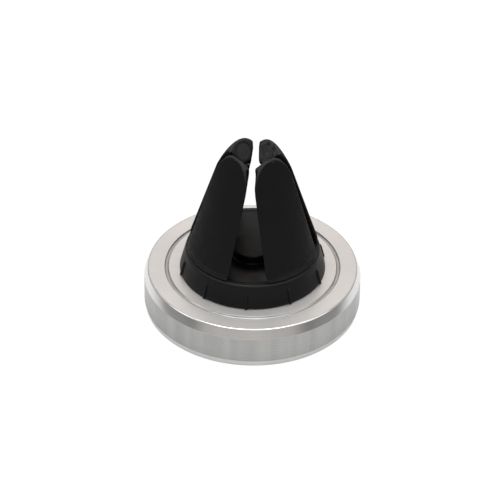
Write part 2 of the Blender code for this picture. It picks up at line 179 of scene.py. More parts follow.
class ShaderGroup:
    """A surface effect that several materials share, built once."""

    title = ""
    inputs: dict[str, float | Sequence[float]] = {}
    outputs: Sequence[str] = ()

    def tree(self) -> bpy.types.NodeTree:
        """The group's node tree, made on first use."""
        found = bpy.data.node_groups.get(self.title)
        if found is not None:
            return found
        tree = bpy.data.node_groups.new(self.title, "ShaderNodeTree")
        for name, value in self.inputs.items():
            kind = "NodeSocketFloat" if isinstance(value, float) else "NodeSocketVector"
            socket = tree.interface.new_socket(name, in_out="INPUT", socket_type=kind)
            socket.default_value = value
        for name in self.outputs:
            tree.interface.new_socket(name, in_out="OUTPUT", socket_type="NodeSocketFloat")
        graph = Graph(tree)
        entry = graph.add("NodeGroupInput")
        leave = graph.add("NodeGroupOutput")
        for name, socket in self.wire(graph, entry).items():
            graph.feed(leave.inputs[name], socket)
        return tree

    def wire(self, graph: Graph, entry: bpy.types.Node) -> dict[str, Socket]:
        """Build the effect and return the socket of each output."""
        raise NotImplementedError

    def place(self, graph: Graph, **values: object) -> bpy.types.Node:
        """Put the group in a material, with its own values for the named inputs."""
        node = graph.add("ShaderNodeGroup", node_tree=self.tree())
        for name, value in values.items():
            graph.feed(node.inputs[name.replace("_", " ").title()], value)
        return node


class MouldGrain(ShaderGroup):
    """Fine spark-eroded grain of a moulded surface, with broad soft mottling."""

    title = "Mould grain"
    inputs = {"Scale": 7000.0, "Mottle Scale": 260.0}
    outputs = ("Height", "Mottle")

    def wire(self, graph: Graph, entry: bpy.types.Node) -> dict[str, Socket]:
        """Cells for the pits, noise for the grain between them."""
        place = graph.add("ShaderNodeTexCoord").outputs["Object"]
        scale = entry.outputs["Scale"]
        grain = graph.noise(place, scale)
        pit_scale = graph.math("MULTIPLY", scale, 0.55)
        cells = graph.add("ShaderNodeTexVoronoi", {"Vector": place, "Scale": pit_scale}, feature="SMOOTH_F1")
        pits = graph.math("MULTIPLY", cells.outputs["Distance"], 0.6)
        return {
            "Height": graph.math("ADD", grain, pits),
            "Mottle": graph.noise(place, entry.outputs["Mottle Scale"], 5.0),
        }


class TurnedLines(ShaderGroup):
    """Marks of a turning tool round the Z axis, and faint streaks across them."""

    title = "Turned lines"
    inputs = {"Lines Per Metre": 5000.0, "Streak Scale": 5.0}
    outputs = ("Face Height", "Wall Height", "Streak")

    def wire(self, graph: Graph, entry: bpy.types.Node) -> dict[str, Socket]:
        """Noise along the radius, along the height, and round the circle."""
        place = graph.add("ShaderNodeTexCoord").outputs["Object"]
        parts = graph.add("ShaderNodeSeparateXYZ", {0: place}).outputs
        flat = graph.add("ShaderNodeCombineXYZ", {0: parts[0], 1: parts[1]}).outputs[0]
        radius = graph.add("ShaderNodeVectorMath", {0: flat}, operation="LENGTH").outputs["Value"]
        way = graph.add("ShaderNodeVectorMath", {0: flat}, operation="NORMALIZE").outputs[0]
        lines = entry.outputs["Lines Per Metre"]
        return {
            "Face Height": graph.line_noise(radius, lines),
            "Wall Height": graph.line_noise(parts[2], lines),
            "Streak": graph.noise(way, entry.outputs["Streak Scale"], 4.0),
        }


class EdgeWear(ShaderGroup):
    """Mask of the raised edges that handling has polished; on the rubber prongs its lighter colour is also a
    painted highlight along the edges.
    """

    title = "Edge wear"
    inputs = {"Start": 0.53, "End": 0.6, "Break Scale": 900.0}
    outputs = ("Mask",)

    def wire(self, graph: Graph, entry: bpy.types.Node) -> dict[str, Socket]:
        """Convex edges, broken up by noise."""
        point = graph.add("ShaderNodeNewGeometry").outputs["Pointiness"]
        edge = graph.ramp(point, entry.outputs["Start"], entry.outputs["End"])
        place = graph.add("ShaderNodeTexCoord").outputs["Object"]
        broken = graph.ramp(graph.noise(place, entry.outputs["Break Scale"]), 0.3, 0.65)
        return {"Mask": graph.math("MULTIPLY", edge, broken)}


class DustAndTopLight(ShaderGroup):
    """Masks for faces that look up: fine dust flecks, and an even painted lightening that stands for light
    from above.
    """

    title = "Settled dust"
    inputs = {"Amount": 0.3, "Fleck Scale": 2600.0}
    outputs = ("Mask", "Film")

    def wire(self, graph: Graph, entry: bpy.types.Node) -> dict[str, Socket]:
        """Sparse dust flecks, and an even painted light, both by how far the surface faces up."""
        normal = graph.add("ShaderNodeNewGeometry").outputs["Normal"]
        rise = graph.add("ShaderNodeSeparateXYZ", {0: normal}).outputs[2]
        upward = graph.ramp(rise, 0.1, 0.9)
        place = graph.add("ShaderNodeTexCoord").outputs["Object"]
        flecks = graph.ramp(graph.noise(place, entry.outputs["Fleck Scale"]), 0.6, 0.75)
        amount = entry.outputs["Amount"]
        return {
            "Mask": graph.math("MULTIPLY", graph.math("MULTIPLY", upward, flecks), amount),
            # an even painted lightening of faces that look up
            "Film": graph.math("MULTIPLY", graph.ramp(rise, 0.36, 0.6), amount),
        }


class PinMark(ShaderGroup):
    """The round mark that a mould's ejector pin leaves on each prong's lead-in face."""

    title = "Pin mark"
    inputs = {"Centre": (0.0, 0.0, 0.0), "Radius": 0.0015, "Line": 0.0001}
    outputs = ("Inside", "Ring")

    def wire(self, graph: Graph, entry: bpy.types.Node) -> dict[str, Socket]:
        """Distance from the mark's middle, mirrored into all four quadrants."""
        place = graph.add("ShaderNodeTexCoord").outputs["Object"]
        mirrored = graph.add("ShaderNodeVectorMath", {0: place}, operation="ABSOLUTE").outputs[0]
        inputs = {0: mirrored, 1: entry.outputs["Centre"]}
        away = graph.add("ShaderNodeVectorMath", inputs, operation="DISTANCE").outputs["Value"]
        radius, line = entry.outputs["Radius"], entry.outputs["Line"]
        beyond = graph.math("SUBTRACT", away, radius)
        outside = graph.ramp(graph.math("DIVIDE", beyond, line), -0.5, 0.5)
        off_ring = graph.ramp(graph.math("DIVIDE", graph.math("ABSOLUTE", beyond), line), 0.2, 1.0)
        return {
            "Inside": graph.math("SUBTRACT", 1.0, outside),
            "Ring": graph.math("SUBTRACT", 1.0, off_ring),
        }


# ---------------------------------------------------------------- finishes


def new_material(name: str) -> tuple[bpy.types.Material, Graph, bpy.types.Node]:
    """An empty Principled material.

    Args:
        name: the material's name.

    Returns:
        The material, a graph on its tree, and its shader.
    """
    mat = bpy.data.materials.new(name)
    mat.use_nodes = True
    return mat, Graph(mat.node_tree), mat.node_tree.nodes["Principled BSDF"]


@dataclass(frozen=True)
class TurnedMetal:
    """Metal with tool marks round the Z axis."""

    name: str
    colour: Colour
    shade: Colour
    roughness: Point2
    lines_per_metre: float = 9000.0
    depth: float = 0.0004 * MM
    run: LineRun = LineRun.FACE
    streak_scale: float = 4.0
    anisotropy: float = 0.5

    def build(self) -> bpy.types.Material:
        """Streaks vary the colour and the polish; the tool marks are relief."""
        mat, graph, shader = new_material(self.name)
        marks = TurnedLines().place(
            graph, lines_per_metre=self.lines_per_metre, streak_scale=self.streak_scale
        )
        lines = marks.outputs[self.run.value]
        tone = graph.math("ADD", marks.outputs["Streak"], graph.math("MULTIPLY", lines, LINE_TONE))
        share = graph.ramp(tone, 0.45, 0.95)
        graph.feed(shader.inputs["Base Color"], graph.blend(share, self.shade, self.colour))
        graph.feed(shader.inputs["Roughness"], graph.ramp(lines, 0.3, 0.7, self.roughness))
        bump = graph.add("ShaderNodeBump", {"Height": lines, "Distance": self.depth, "Strength": 1.0})
        graph.feed(shader.inputs["Normal"], bump.outputs[0])
        shader.inputs["Metallic"].default_value = 1.0
        shader.inputs["Anisotropic"].default_value = self.anisotropy
        shader.inputs["Anisotropic Rotation"].default_value = 0.25
        tangent = graph.add("ShaderNodeTangent", direction_type="RADIAL", axis="Z")
        graph.feed(shader.inputs["Tangent"], tangent.outputs[0])
        return mat


@dataclass(frozen=True)
class Moulded:
    """Plastic, rubber or film with a moulded grain."""

    name: str
    colour: Colour
    # colour the tint reaches: wear, mottle, dust, pin mark; also painted light and painted edge highlights
    tint_colour: Colour
    roughness: Point2
    grain_scale: float = 7000.0
    grain_depth: float = 0.004 * MM
    mottle_scale: float = 260.0
    dust_and_top_light: float = 0.0
    # film scales a painted light: faces that look up are lightened, standing for light from above.
    film: float = 0.0
    specular: float = 0.4
    sheen: float = 0.0
    mark_centre: Triple | None = None
    mark_radius: float = 1.5 * MM

    def build(self) -> bpy.types.Material:
        """Grain in the relief, mottling in the polish; wear, dust, the pin mark and painted light in the
        colour.
        """
        mat, graph, shader = new_material(self.name)
        grain = MouldGrain().place(graph, scale=self.grain_scale, mottle_scale=self.mottle_scale)
        wear = EdgeWear().place(graph).outputs["Mask"]
        mottle = grain.outputs["Mottle"]
        tint = graph.math("MAXIMUM", wear, graph.ramp(mottle, 0.55, 0.8, (0.0, GRAIN_TINT)))
        if self.dust_and_top_light > 0:
            dust_and_top_light = DustAndTopLight().place(graph, amount=self.dust_and_top_light).outputs
            # Painted light: faces that look up are lightened towards the tint colour.
            film = graph.math("MULTIPLY", dust_and_top_light["Film"], self.film)
            tint = graph.math("MAXIMUM", tint, graph.math("ADD", dust_and_top_light["Mask"], film))
        height = grain.outputs["Height"]
        if self.mark_centre is not None:
            mark = PinMark().place(graph, centre=self.mark_centre, radius=self.mark_radius)
            tint = graph.math("MAXIMUM", tint, graph.math("MULTIPLY", mark.outputs["Inside"], MARK_SHADE))
            height = graph.math("ADD", height, graph.math("MULTIPLY", mark.outputs["Ring"], MARK_RING))
        # The tint is partly real wear and dust, partly painted light on upward faces and, on the rubber,
        # edges.
        graph.feed(shader.inputs["Base Color"], graph.blend(tint, self.colour, self.tint_colour))
        rough = graph.ramp(mottle, 0.3, 0.7, self.roughness)
        polish = graph.math("MULTIPLY", wear, WEAR_POLISH)
        graph.feed(shader.inputs["Roughness"], graph.math("SUBTRACT", rough, polish))
        bump = graph.add("ShaderNodeBump", {"Height": height, "Distance": self.grain_depth, "Strength": 1.0})
        graph.feed(shader.inputs["Normal"], bump.outputs[0])
        shader.inputs["Specular IOR Level"].default_value = self.specular
        shader.inputs["Sheen Weight"].default_value = self.sheen
        return mat


@dataclass(frozen=True)
class PlatedMetal:
    """Plated or bright metal with a fine grain and a little wear."""

    name: str
    colour: Colour
    tint_colour: Colour
    roughness: Point2
    grain_scale: float = 4000.0
    grain_depth: float = 0.002 * MM

    def build(self) -> bpy.types.Material:
        """Mottled polish, fine relief and worn edges."""
        mat, graph, shader = new_material(self.name)
        grain = MouldGrain().place(graph, scale=self.grain_scale, mottle_scale=400.0)
        wear = EdgeWear().place(graph).outputs["Mask"]
        graph.feed(shader.inputs["Base Color"], graph.blend(wear, self.colour, self.tint_colour))
        graph.feed(shader.inputs["Roughness"], graph.ramp(grain.outputs["Mottle"], 0.3, 0.7, self.roughness))
        inputs = {"Height": grain.outputs["Height"], "Distance": self.grain_depth, "Strength": 1.0}
        graph.feed(shader.inputs["Normal"], graph.add("ShaderNodeBump", inputs).outputs[0])
        shader.inputs["Metallic"].default_value = 1.0
        return mat


# ---------------------------------------------------------------- mesh tools


def publish(name: str, bm: bmesh.types.BMesh, finishes: Iterable[bpy.types.Material]) -> bpy.types.Object:
    """Turn a bmesh into a smooth, closed piece in the scene.

    Args:
        name: the piece's name.
        bm: its mesh, which is freed.
        finishes: its materials, in the order of the faces' indices.

    Returns:
        The new object.
    """
    bmesh.ops.remove_doubles(bm, verts=bm.verts, dist=MERGE_DISTANCE)
    bmesh.ops.recalc_face_normals(bm, faces=bm.faces)
    mesh = bpy.data.meshes.new(name)
    bm.to_mesh(mesh)
    bm.free()
    mesh.shade_smooth()
    mesh.set_sharp_from_angle(angle=SHARP_ANGLE)
    for finish in finishes:
        mesh.materials.append(finish)
    obj = bpy.data.objects.new(name, mesh)
    bpy.context.scene.collection.objects.link(obj)
    return obj


def settle(obj: bpy.types.Object, body: str, slot: str, *nodes: str) -> None:
    """Attach a piece to its body and let it stand for its CAD nodes, which it hides."""
    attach(obj, body)
    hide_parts(*nodes)
    log.info("%s: %d faces, rides on %s", obj.name, len(obj.data.polygons), body)


def rounded_outline(corners: Sequence[tuple[float, float, float]], steps: int = 6) -> list[Point2]:
    """A closed outline with its corners turned into arcs.

    Args:
        corners: (radius, z, rounding) of each corner in order.
        steps: the number of steps in each arc.

    Returns:
        The outline's points.
    """
    points: list[Point2] = []
    for index, (r, z, rounding) in enumerate(corners):
        here = Vector((r, z))
        if rounding <= 0:
            points.append((r, z))
            continue
        before = (Vector(corners[index - 1][:2]) - here).normalized()
        after = (Vector(corners[(index + 1) % len(corners)][:2]) - here).normalized()
        half = before.angle(after) / 2
        centre = here + (before + after).normalized() * rounding / math.sin(half)
        start = here + before * rounding / math.tan(half) - centre
        end = here + after * rounding / math.tan(half) - centre
        points.append(tuple(centre + start + before * EDGE_HOLD))
        for step in range(steps + 1):
            ray = start.slerp(end, step / steps).normalized() * start.length
            points.append(tuple(centre + ray))
        points.append(tuple(centre + end + after * EDGE_HOLD))
    return points


def turned(
    outline: Sequence[Point2], segments: int, zone_of: Callable[[float, float], int] | None = None
) -> bmesh.types.BMesh:
    """Turn a closed outline of (radius, z) about the Z axis.

    Args:
        outline: the section; points on the axis become poles.
        segments: the number of steps round the circle.
        zone_of: a function from the (radius, z) middle of a band to its material index.

    Returns:
        The closed mesh.
    """
    bm = bmesh.new()
    rings = []
    for r, z in outline:
        if r < MERGE_DISTANCE:
            rings.append([bm.verts.new((0.0, 0.0, z))] * segments)
            continue
        turn = [math.tau * i / segments for i in range(segments)]
        rings.append([bm.verts.new((r * math.sin(a), -r * math.cos(a), z)) for a in turn])
    for index, ring in enumerate(rings):
        last = rings[index - 1]
        middle = [(outline[index][k] + outline[index - 1][k]) / 2 for k in (0, 1)]
        for i in range(segments):
            j = (i + 1) % segments
            corners = list(dict.fromkeys((last[i], last[j], ring[j], ring[i])))
            if len(corners) > 2:
                face = bm.faces.new(corners)
                face.material_index = zone_of(*middle) if zone_of else 0
    return bm


def bridge(bm: bmesh.types.BMesh, rows: Sequence[Sequence[bmesh.types.BMVert]]) -> None:
    """Join each loop of vertices to the next one."""
    for low, high in zip(rows, rows[1:]):
        for i in range(len(low)):
            j = (i + 1) % len(low)
            bm.faces.new((low[i], low[j], high[j], high[i]))


def arc_through(first: Point2, middle: Point2, last: Point2, count: int) -> np.ndarray:
    """Points on the circle through three points, from the first to the last."""
    a, b, c = (complex(*p) for p in (first, middle, last))
    w = (c - a) / (b - a)
    centre = (b - a) * (w - abs(w) ** 2) / (2j * w.imag) + a
    start, end = a - centre, c - centre
    sweep = np.angle(end / start)
    points = centre + start * np.exp(1j * np.linspace(0, sweep, count))
    return np.column_stack([points.real, points.imag])


def resampled(line: np.ndarray, cut: float, count: int) -> np.ndarray:
    """Even points along a line, leaving out a length of it at each end."""
    along = np.concatenate([[0.0], np.cumsum(np.hypot(*np.diff(line, axis=0).T))])
    cut = min(cut, 0.45 * along[-1])
    wanted = np.linspace(cut, along[-1] - cut, count)
    return np.column_stack([np.interp(wanted, along, line[:, k]) for k in (0, 1)])


def corner_curve(before: np.ndarray, corner: np.ndarray, after: np.ndarray, count: int) -> np.ndarray:
    """Points strictly between two ends, on the curve that a corner pulls towards itself."""
    t = (np.arange(count) + 1)[:, None] / (count + 1)
    return (1 - t) ** 2 * before + 2 * t * (1 - t) * corner + t**2 * after


# ---------------------------------------------------------------- magnet disc


@dataclass
class MagnetDisc:
    """Turned aluminium housing, silicone face, and the magnets and steel inside."""

    top_bevel: Point2 = (0.7 * MM, 1.8 * MM)
    foot_bevel: Point2 = (0.25 * MM, 1.2 * MM)
    rim_round: float = 0.3 * MM
    edge_round: float = 0.12 * MM
    groove_radius: float = 15.85 * MM
    groove_half_width: float = 0.38 * MM
    groove_depth: float = 0.3 * MM
    wall: float = 1.7 * MM
    roof: float = 1.8 * MM
    bore: float = 2.5 * MM
    segments: int = 288
    body: str = "disc"

    def build(self) -> None:
        """Make the housing and the face, and dress the pieces inside."""
        self.housing()
        self.face()
        self.dress_inside()

    def housing(self) -> None:
        """The cup: satin faces, bright bevels and a fine-turned wall, whose darker colour is painted shade.
        """
        low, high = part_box("disc_housing")
        radius, foot, top = high.x, low.z, high.z
        inset, drop = self.top_bevel
        foot_inset, rise = self.foot_bevel
        cavity = radius - self.wall
        groove, half, edge = self.groove_radius, self.groove_half_width, self.edge_round
        outline = rounded_outline(
            [
                (cavity, foot, edge),
                (radius - foot_inset, foot, edge * 2),
                (radius, foot + rise, edge * 2),
                (radius, top - drop, edge),
                (radius - inset, top, self.rim_round),
                (groove + half, top, edge / 2),
                (groove + half / 2, top - self.groove_depth, edge / 2),
                (groove - half / 2, top - self.groove_depth, edge / 2),
                (groove - half, top, edge / 2),
                (self.bore, top, edge),
                (self.bore, top - self.roof, 0.0),
                (cavity, top - self.roof, 0.0),
            ]
        )

        def zone(r: float, z: float) -> int:
            """0 for the back, 1 for the bright bevels, 2 for the wall, 3 for the groove."""
            if abs(r - groove) < half * 1.05 and z > top - self.roof / 2:
                return 3
            if r > radius - inset - self.rim_round and z > top - drop:
                return 1
            if r > cavity and z > foot + rise:
                return 2
            return 1 if r > cavity and z < foot + rise else 0

        satin = TurnedMetal(
            "satin_back", (0.79, 0.76, 0.74), (0.745, 0.725, 0.705), (0.38, 0.48),
            streak_scale=3.0, anisotropy=0.25,
        )
        bright = TurnedMetal(
            "bright_bevel", (0.80, 0.79, 0.78), (0.72, 0.72, 0.725), (0.08, 0.14), depth=0.0004 * MM,
            run=LineRun.WALL, anisotropy=0.3,
        )
        # The wall is the same aluminium, given a darker colour as painted shade.
        wall = TurnedMetal(
            "fine_turned_wall", (0.44, 0.438, 0.43), (0.37, 0.37, 0.365), (0.22, 0.34), depth=0.0012 * MM,
            run=LineRun.WALL, lines_per_metre=6000.0, streak_scale=9.0,
        )
        # The groove's floor is the same aluminium, given a darker colour as painted shade in the recess.
        groove_shaded_metal = TurnedMetal("groove_floor", (0.6, 0.59, 0.58), (0.45, 0.45, 0.45), (0.25, 0.35))
        finishes = [finish.build() for finish in (satin, bright, wall, groove_shaded_metal)]
        piece = publish("turned_housing", turned(outline, self.segments, zone), finishes)
        settle(piece, self.body, "turned_aluminium", "disc_housing")

    def face(self) -> None:
        """The silicone pad that the magnets pull a phone onto, with a fine raised border."""
        low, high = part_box("face_pad")
        radius, thickness = high.x, high.z - low.z
        border, step, edge = 1.2 * MM, 0.12 * MM, 0.15 * MM
        outline = rounded_outline(
            [
                (0.0, low.z, 0.0),
                (radius - 2 * border, low.z, 0.0),
                (radius - 2 * border + step, low.z + step, step / 3),
                (radius - border - step, low.z + step, step / 3),
                (radius - border, low.z, step / 3),
                (radius, low.z, edge),
                (radius, low.z + thickness, edge),
                (0.0, low.z + thickness, 0.0),
            ]
        )
        silicone = Moulded(
            "face_silicone", (0.02, 0.02, 0.021), (0.05, 0.05, 0.052), (0.6, 0.78), grain_scale=5200.0,
            grain_depth=0.006 * MM, specular=0.35, sheen=0.1,
        )
        piece = publish("silicone_face", turned(outline, self.segments), [silicone.build()])
        settle(piece, self.body, "pad_silicone", "face_pad")

    def dress_inside(self) -> None:
        """Give the pieces that stay as they are the finish of their own material."""
        nickel = PlatedMetal("nickel_plate", (0.70, 0.68, 0.63), (0.82, 0.8, 0.77), (0.12, 0.25))
        zinc = PlatedMetal("zinc_plate", (0.55, 0.56, 0.57), (0.68, 0.68, 0.68), (0.28, 0.45), 2500.0)
        steel = PlatedMetal("bright_steel", (0.5, 0.5, 0.51), (0.66, 0.66, 0.66), (0.2, 0.35))
        brass = PlatedMetal("machined_brass", (0.72, 0.55, 0.27), (0.85, 0.7, 0.4), (0.2, 0.32))
        carrier = Moulded("carrier_plastic", (0.045, 0.045, 0.047), (0.09, 0.09, 0.09), (0.4, 0.55))
        film = Moulded("adhesive_film", (0.78, 0.78, 0.75), (0.62, 0.61, 0.57), (0.45, 0.65), 3000.0)
        nylon = Moulded("natural_nylon", (0.82, 0.8, 0.73), (0.9, 0.89, 0.85), (0.35, 0.5), specular=0.5)
        dress(nickel.build(), [name for name in frame["nodes"] if name[-1].isdigit()])
        dress(zinc.build(), ["yoke_plate"])
        dress(steel.build(), ["pivot_screw", "pivot_nut", "wave_washer"])
        dress(brass.build(), ["swivel_bush"])
        dress(carrier.build(), ["magnet_carrier"])
        dress(film.build(), ["pad_adhesive"])
        dress(nylon.build(), ["thrust_washer"])


def dress(finish: bpy.types.Material, nodes: Iterable[str]) -> None:
    """Give CAD nodes that keep their shape a finish."""
    for node in nodes:
        obj = frame["nodes"][node]
        obj.data.materials.clear()
        obj.data.materials.append(finish)
        log.info("%s: keeps its shape, finish %s", node, finish.name)


# ---------------------------------------------------------------- vent clip


@dataclass
class ClipBody:
    """Round base with its hollow boss and cap, and the ribbed collar around them."""

    boss_radius: float = 3.8 * MM
    boss_wall: float = 0.65 * MM
    lid_low: float = 4.3 * MM
    web: float = 1.6 * MM
    dish_floor: float = 3.0 * MM
    bush_bore: float = 2.6 * MM
    collar_foot: float = 13.45 * MM
    collar_rim: float = 12.3 * MM
    collar_top: float = 4.45 * MM
    collar_bore: float = 11.1 * MM
    seam: float = 0.03 * MM
    foot_drop: float = 0.2 * MM
    shoulder: float = 0.4 * MM
    rib_count: int = 10
    rib_half_width: float = 0.27 * MM
    rib_height: float = 0.3 * MM
    rib_top: float = 3.05 * MM
    rib_fade: float = 0.35 * MM
    rib_ease: float = 0.4
    bore_round: float = 0.15 * MM
    segments: int = 192
    body: str = "clip"

    def build(self) -> None:
        """Make the base, the cap and the collar."""
        plastic = Moulded(
            "satin_black_base", (0.0022, 0.0016, 0.0012), (0.014, 0.012, 0.010), (0.3, 0.42),
            grain_scale=9000.0, grain_depth=0.003 * MM, dust_and_top_light=0.12, specular=0.2,
        ).build()
        self.base(plastic)
        self.cap(plastic)
        self.collar()

    def dish(self, radius: np.ndarray) -> np.ndarray:
        """Height of the dished floor above the disc's back."""
        slope = (self.collar_top - self.dish_floor) / (self.collar_bore - self.boss_radius)
        return self.dish_floor + (radius - self.boss_radius) * slope

    def base(self, plastic: bpy.types.Material) -> None:
        """The floor that the prongs stand on, and the boss in its middle."""
        low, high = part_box("clip_base")
        lid_low = DISC_BACK + self.lid_low
        inner = self.boss_radius - self.boss_wall
        edge = 0.15 * MM
        outline = rounded_outline(
            [
                (self.bush_bore, low.z, 0.0),
                (self.collar_bore - self.seam, low.z, edge),
                (self.collar_bore - self.seam, high.z, edge / 2),
                (self.boss_radius, DISC_BACK + self.dish_floor, edge * 2),
                (self.boss_radius, lid_low - self.seam, edge / 5),
                (inner, lid_low - self.seam, edge / 5),
                (inner, DISC_BACK + self.web, edge),
                (self.bush_bore, DISC_BACK + self.web, 0.0),
            ]
        )
        piece = publish("moulded_base", turned(outline, self.segments), [plastic])
        settle(piece, self.body, "clip_plastic", "clip_base")

    def cap(self, plastic: bpy.types.Material) -> None:
        """The snap-in cap over the screw's head."""
        low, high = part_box("pivot_cap")
        lid_low = DISC_BACK + self.lid_low
        plug = self.boss_radius - self.boss_wall - 0.2 * MM
        edge = 0.12 * MM
        outline = rounded_outline(
            [
                (0.0, low.z, 0.0),
                (plug, low.z, edge),
                (plug, lid_low, 0.0),
                (high.x, lid_low, edge / 4),
                (high.x, high.z, edge * 1.8),
                (0.0, high.z, 0.0),
            ]
        )
        piece = publish("screw_cap", turned(outline, self.segments), [plastic])
        settle(piece, self.body, "clip_plastic", "pivot_cap")

    def collar(self) -> None:
        """The tapered ring, with thin upright ribs on the lower part of its outside."""
        low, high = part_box("collar_ring")
        top = high.z - DISC_BACK
        foot = low.z - DISC_BACK - self.foot_drop
        lean = (self.collar_rim - self.collar_foot) / top
        wall = [foot + (top - self.shoulder - foot) * step / 16 for step in range(17)]
        rim = [
            (self.collar_rim - lean * self.shoulder * (1 - math.sin(a)) - self.shoulder * (1 - math.cos(a)),
             top - self.shoulder * (1 - math.sin(a)))
            for a in np.linspace(0.15, math.pi / 2, 7)
        ]
        inside = [
            (self.collar_bore + self.bore_round, top),
            (self.collar_bore, top - self.bore_round),
            (self.collar_bore, foot),
        ]
        bm = bmesh.new()
        rows = []
        for angle, across in self.collar_stations():
            shape = math.cos(math.pi / 2 * min(abs(across) / self.rib_half_width, 1.0)) ** self.rib_ease
            right, back = math.sin(angle), -math.cos(angle)
            outside = [(self.collar_foot + lean * h + shape * self.rib_lift(h), h) for h in wall]
            points = outside + rim + inside
            rows.append([bm.verts.new((r * right, r * back, h + DISC_BACK)) for r, h in points])
        bridge(bm, rows + [rows[0]])
        # film=1.0 paints light on the collar's upward faces, a painted highlight along its rim.
        plastic = Moulded(
            "ribbed_black_collar", (0.0025, 0.0025, 0.0032), (0.03, 0.03, 0.031), (0.34, 0.46),
            grain_scale=5500.0, grain_depth=0.01 * MM, dust_and_top_light=0.25, film=1.0, specular=0.2,
        )
        piece = publish("ribbed_collar", bm, [plastic.build()])
        settle(piece, self.body, "collar_plastic", "collar_ring")

    def rib_lift(self, height: float) -> float:
        """How far a rib stands out at a height; it fades out at its top."""
        fade = (self.rib_top - height) / self.rib_fade
        return self.rib_height * min(max(fade, 0.0), 1.0)

    def collar_stations(self) -> list[tuple[float, float]]:
        """Angles round the collar, each with its distance from the nearest rib's middle."""
        pitch = math.tau / self.rib_count
        near = np.linspace(-1.2, 1.2, 15) * self.rib_half_width
        edge = near[-1] / self.collar_foot
        between = np.linspace(edge, pitch - edge, 14)[1:-1]
        stations = []
        for rib in range(self.rib_count):
            stations += [(rib * pitch + across / self.collar_foot, across) for across in near]
            stations += [(rib * pitch + angle, self.rib_half_width) for angle in between]
        return stations


# ---------------------------------------------------------------- prongs


@dataclass(frozen=True)
class ProngShape:
    """Sizes of one prong. Heights are above the disc's back."""

    cone_at_face: float = 13.76 * MM
    cone_slope: float = 0.311
    spine_foot: Point2 = (12.1 * MM, 5.3 * MM)
    spine_tip: Point2 = (4.4 * MM, 25.9 * MM)
    fingertip: Point2 = (5.1 * MM, 7.5 * MM)
    tip_thickness: float = 0.35 * MM
    wall: float = 2.6 * MM
    lead_in: float = 0.577
    jaw: float = 22.2 * MM
    neck: float = 18.5 * MM
    wide_slot: Triple = (3.45 * MM, 0.85 * MM, 0.45 * MM)
    narrow_slot: Triple = (1.8 * MM, 0.6 * MM, 0.4 * MM)
    slot_heights: Triple = (5.3 * MM, 20.5 * MM, 24.0 * MM)
    outer_points: int = 22
    inner_points: int = 34
    side_points: int = 7
    corner_points: int = 6

    def spine(self, height: float) -> float:
        """Outward distance of the outer face's middle, on the diagonal."""
        share = (height - self.spine_foot[1]) / (self.spine_tip[1] - self.spine_foot[1])
        return self.spine_foot[0] + (self.spine_tip[0] - self.spine_foot[0]) * share

    def jaw_distance(self) -> float:
        """Distance of the inner face where the two jaws come closest."""
        return self.spine_tip[0] - self.tip_thickness - (self.spine_tip[1] - self.jaw) * self.lead_in

    def inner(self, height: float) -> float:
        """Distance of the inner face on the diagonal: wall, neck, jaw, lead-in ramp."""
        neck = self.spine(self.neck) - self.wall
        if height >= self.jaw:
            return self.jaw_distance() + (height - self.jaw) * self.lead_in
        if height >= self.neck:
            share = 0.5 - 0.5 * math.cos(math.pi * (height - self.neck) / (self.jaw - self.neck))
            return neck + (self.jaw_distance() - neck) * share
        return self.spine(height) - self.wall

    def slot(self, height: float, widths: Triple) -> float:
        """Half the gap to the next prong."""
        return float(np.interp(height, self.slot_heights, widths))

    def section(
        self, height: float, inset: float = 0.0, thin: float = 0.0, limit: float = 1.0, cut: float = 0.45 * MM
    ) -> np.ndarray:
        """Horizontal section of the +X +Y prong, with its corners rounded.

        Args:
            height: where the section is taken.
            inset: how far it shrinks on every side.
            thin: how far its outer and inner faces alone draw together.
            limit: the most that its outward radius may be.
            cut: the length of each side that a rounded corner takes.

        Returns:
            The closed outline as an array of (x, y).
        """
        wide = self.slot(height, self.wide_slot) + inset
        narrow = self.slot(height, self.narrow_slot) + inset
        cone = min(self.cone_at_face - self.cone_slope * height - inset - thin, limit)
        spine = min(self.spine(height) - inset - thin, limit)
        inner = self.inner(height) + inset + thin
        flatness = min(max((height - self.neck) / (self.jaw - self.neck), 0.0), 1.0)
        ends = []
        for offset in (narrow, wide):
            flat = math.hypot(offset, DIAGONAL * inner - offset)
            ends.append(inner + (flat - inner) * flatness)
        outer_middle = (spine + (cone - spine) * 0.02) / DIAGONAL
        inner_middle = inner * 1.001 / DIAGONAL
        far = arc_through(
            (wide, math.sqrt(cone**2 - wide**2)), (outer_middle, outer_middle),
            (math.sqrt(cone**2 - narrow**2), narrow), 40,
        )
        near = arc_through(
            (math.sqrt(ends[0] ** 2 - narrow**2), narrow), (inner_middle, inner_middle),
            (wide, math.sqrt(ends[1] ** 2 - wide**2)), 40,
        )
        far = self.round_end(far, height, inset)
        near = self.round_end(near, height, inset)
        lines = [far, np.array([far[-1], near[0]]), near, np.array([near[-1], far[0]])]
        counts = (self.outer_points, self.side_points, self.inner_points, self.side_points)
        sides = [resampled(line, cut, count) for line, count in zip(lines, counts)]
        outline = []
        for index, side in enumerate(sides):
            after = sides[(index + 1) % len(sides)]
            corner = lines[index][-1]
            outline += [side, corner_curve(side[-1], corner, after[0], self.corner_points)]
        return np.vstack(outline)

    def round_end(self, line: np.ndarray, height: float, inset: float) -> np.ndarray:
        """Narrow one face of a section about the diagonal where the prong's end is round."""
        half_width, tall = self.fingertip
        rise = height - (self.spine_tip[1] - tall)
        if rise <= 0:
            return line
        reach = (half_width - inset) * math.sqrt(1.0 - min(rise / (tall - inset), 1.0) ** 2)
        widest = np.abs(line[:, 0] - line[:, 1]).max() / DIAGONAL
        outward = (line[:, 0] + line[:, 1]) / 2
        across = min(1.0, reach / widest) * (line[:, 0] - line[:, 1]) / 2
        return np.column_stack([outward + across, outward - across])


